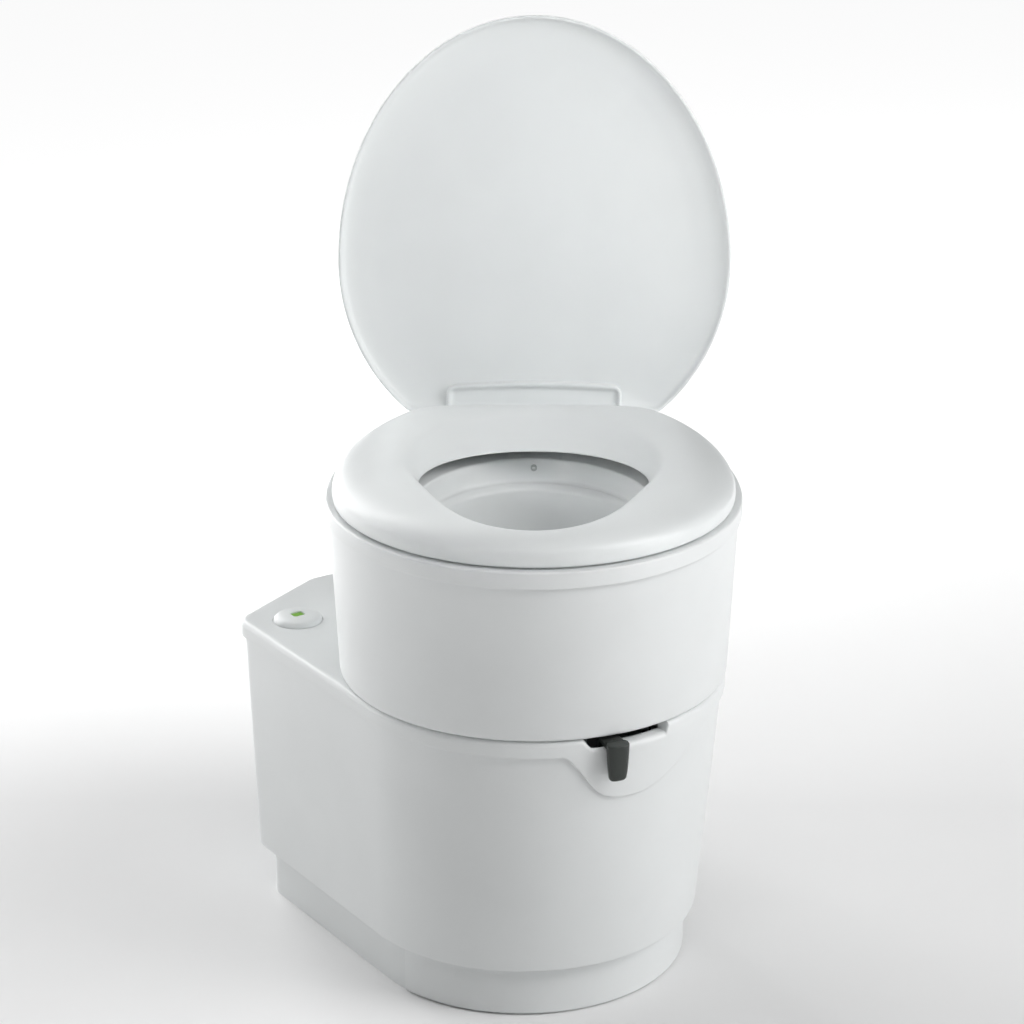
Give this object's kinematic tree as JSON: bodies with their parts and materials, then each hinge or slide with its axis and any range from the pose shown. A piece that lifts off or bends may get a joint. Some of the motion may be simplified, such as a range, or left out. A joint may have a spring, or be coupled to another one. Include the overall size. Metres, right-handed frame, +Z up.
{
  "type": "cassette toilet",
  "caption": "Caravan cassette toilet: swivelling bowl with hinged seat and lid on a deck, blade lever under the rim of the housing, and a waste tank that slides out behind.",
  "frame": {"origin": "on the floor, under the bowl's swivel axis", "axes": "+Z up, -Y out of the housing's round front, +Y the way the waste tank slides out; shown with the bowl turned 34.2 degrees, lid open and seat down"},
  "size_m": [0.4968, 0.5222, 0.8563],
  "materials": {
    "liner_plastic": "off-white, matt",
    "white_plastic": "cool white, satin to gloss",
    "working_plastic": "grey, matt",
    "stainless": "brushed",
    "board": "green board",
    "grip_plastic": "charcoal, satin",
    "lens": "clear green",
    "seat_plastic": "cool white, gloss",
    "rubber": "matt",
    "tank_plastic": "light grey, blow-moulded",
    "float_foam": "closed foam"
  },
  "bodies": {
    "housing": {"floor_pan": "liner_plastic", "plinth_front": "white_plastic", "housing_shell": "white_plastic", "deck_cover": "white_plastic", "guide_rails": "working_plastic", "bearing_ring": "working_plastic", "swivel_retainer": "working_plastic", "retainer_screws": "stainless", "lever_guides": "working_plastic", "control_board": "board", "water_valve": "grip_plastic", "inlet_tail": "working_plastic", "valve_strap": "stainless"},
    "bowl": {"bowl_casing": "white_plastic", "bowl_basin": "white_plastic", "rim_ring": "white_plastic", "rinse_nozzle": "working_plastic", "bowl_hose": "liner_plastic", "hinge_bracket": "white_plastic", "hinge_screws": "stainless", "hinge_pins": "stainless"},
    "seat": {"seat": "seat_plastic", "seat_buffers": "rubber"},
    "lid": {"lid": "seat_plastic", "lid_hinge_bar": "seat_plastic"},
    "flush_button": {"flush_button": "white_plastic", "led_lens": "lens"},
    "lever": {"lever_sector": "working_plastic", "lever_grip": "grip_plastic"},
    "tank": {"tank_body": "tank_plastic", "lip_seal": "rubber", "cover_rails": "working_plastic", "spout_collar": "grip_plastic", "vent_bush": "working_plastic", "float_bracket": "working_plastic"},
    "sliding_cover": {"sliding_cover": "grip_plastic"},
    "blade": {"blade": "liner_plastic", "blade_pinion": "working_plastic"},
    "spout": {"pour_spout": "working_plastic"},
    "spout_cap": {"spout_cap": "grip_plastic"},
    "vent_button": {"vent_button": "lens"},
    "tank_handle": {"tank_handle": "grip_plastic"},
    "wheels": {"wheels": "rubber", "wheel_axle": "stainless"},
    "float": {"float_arm": "working_plastic", "float_bulb": "float_foam"}
  },
  "joints": [
    {"name": "bowl_swivel", "type": "hinge", "parent": "housing", "child": "bowl", "pos_m": [0, 0, 0.2975], "axis": [0, 0, 1], "range_deg": [-55.8, 124.2]},
    {"name": "seat_hinge", "type": "hinge", "parent": "bowl", "child": "seat", "pos_m": [0.11242, 0.16542, 0.473], "axis": [-0.8271, 0.5621, 0], "range_deg": [0, 92]},
    {"name": "lid_hinge", "type": "hinge", "parent": "bowl", "child": "lid", "pos_m": [0.11242, 0.16542, 0.473], "axis": [-0.8271, 0.5621, 0], "range_deg": [-98, 0]},
    {"name": "flush_press", "type": "slide", "parent": "housing", "child": "flush_button", "axis": [0, 0, -1], "range_m": [0, 0.002], "stiffness_N_per_m": 1500, "springref_m": -0.001},
    {"name": "lever_swing", "type": "hinge", "parent": "housing", "child": "lever", "pos_m": [0, 0, 0.2565], "axis": [0, 0, 1], "range_deg": [0, 15]},
    {"name": "tank_slide", "type": "slide", "parent": "housing", "child": "tank", "axis": [0, 1, 0], "range_m": [0, 0.4]},
    {"name": "cover_slide", "type": "slide", "parent": "tank", "child": "sliding_cover", "axis": [0, -1, 0], "range_m": [0, 0.118]},
    {"name": "blade_turn", "type": "hinge", "parent": "tank", "child": "blade", "pos_m": [0, -0.096, 0.2428], "axis": [0, 0, 1], "range_deg": [0, 60]},
    {"name": "spout_turn", "type": "hinge", "parent": "tank", "child": "spout", "pos_m": [0.092, 0.244, 0.222], "axis": [0, 0, -1], "range_deg": [0, 90]},
    {"name": "spout_cap_turn", "type": "hinge", "parent": "spout", "child": "spout_cap", "pos_m": [-0.084, 0.244, 0.222], "axis": [-1, 0, 0], "range_deg": [0, 90]},
    {"name": "vent_press", "type": "slide", "parent": "tank", "child": "vent_button", "axis": [0, 0, -1], "range_m": [0, 0.005], "stiffness_N_per_m": 300, "springref_m": -0.002},
    {"name": "handle_swing", "type": "hinge", "parent": "tank", "child": "tank_handle", "pos_m": [0, 0.283, 0.15], "axis": [1, 0, 0], "range_deg": [0, 95]},
    {"name": "wheel_spin", "type": "hinge", "parent": "tank", "child": "wheels", "pos_m": [0, -0.055, 0.0218], "axis": [1, 0, 0], "continuous": true},
    {"name": "float_swing", "type": "hinge", "parent": "tank", "child": "float", "pos_m": [0.07, 0.09, 0.231], "axis": [1, 0, 0], "range_deg": [0, 60]}
  ],
  "couplings": [
    {"joint": "blade_turn", "follows": "lever_swing", "ratio": 4},
    {"joint": "cover_slide", "follows": "tank_slide", "ratio": 0.295}
  ]
}
